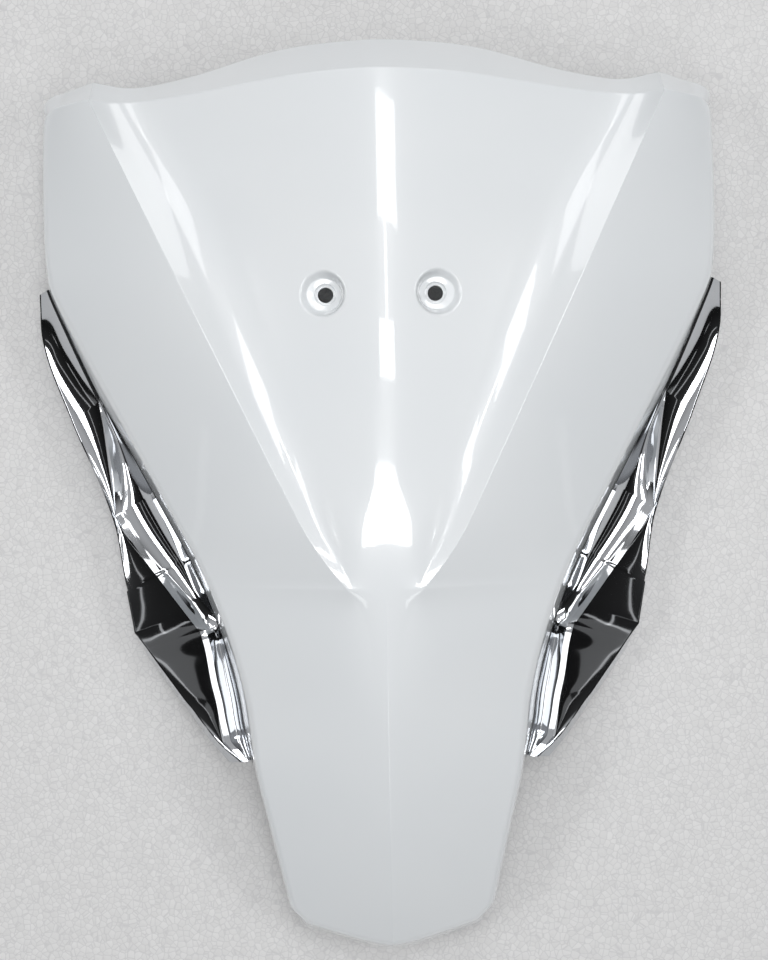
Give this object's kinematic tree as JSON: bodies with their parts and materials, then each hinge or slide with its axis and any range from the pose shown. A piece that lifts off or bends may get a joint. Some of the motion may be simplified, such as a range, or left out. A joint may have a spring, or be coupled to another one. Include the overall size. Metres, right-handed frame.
{
  "type": "scooter front nose panel",
  "caption": "Nose panel of a scooter: a scooped white shell tapering to a chin, with a plated garnish along each flank and number plate seats.",
  "frame": {"origin": "middle of the panel's bounding box, at the plane it rests on when it lies on its back", "axes": "+X to the right as seen from in front, +Y up the panel to its top rim, +Z out of the face"},
  "size_m": [0.403, 0.5252, 0.1005],
  "materials": {
    "panel": "gloss white paint on injection moulded ABS",
    "garnish": "bright chrome plating on injection moulded ABS",
    "screw": "zinc plated steel"
  },
  "bodies": {
    "root": {"nose_panel": "panel", "garnish_left": "garnish", "garnish_right": "garnish", "garnish_screw_left_1": "screw", "garnish_screw_left_2": "screw", "garnish_screw_left_3": "screw", "garnish_screw_right_1": "screw", "garnish_screw_right_2": "screw", "garnish_screw_right_3": "screw"}
  },
  "joints": []
}
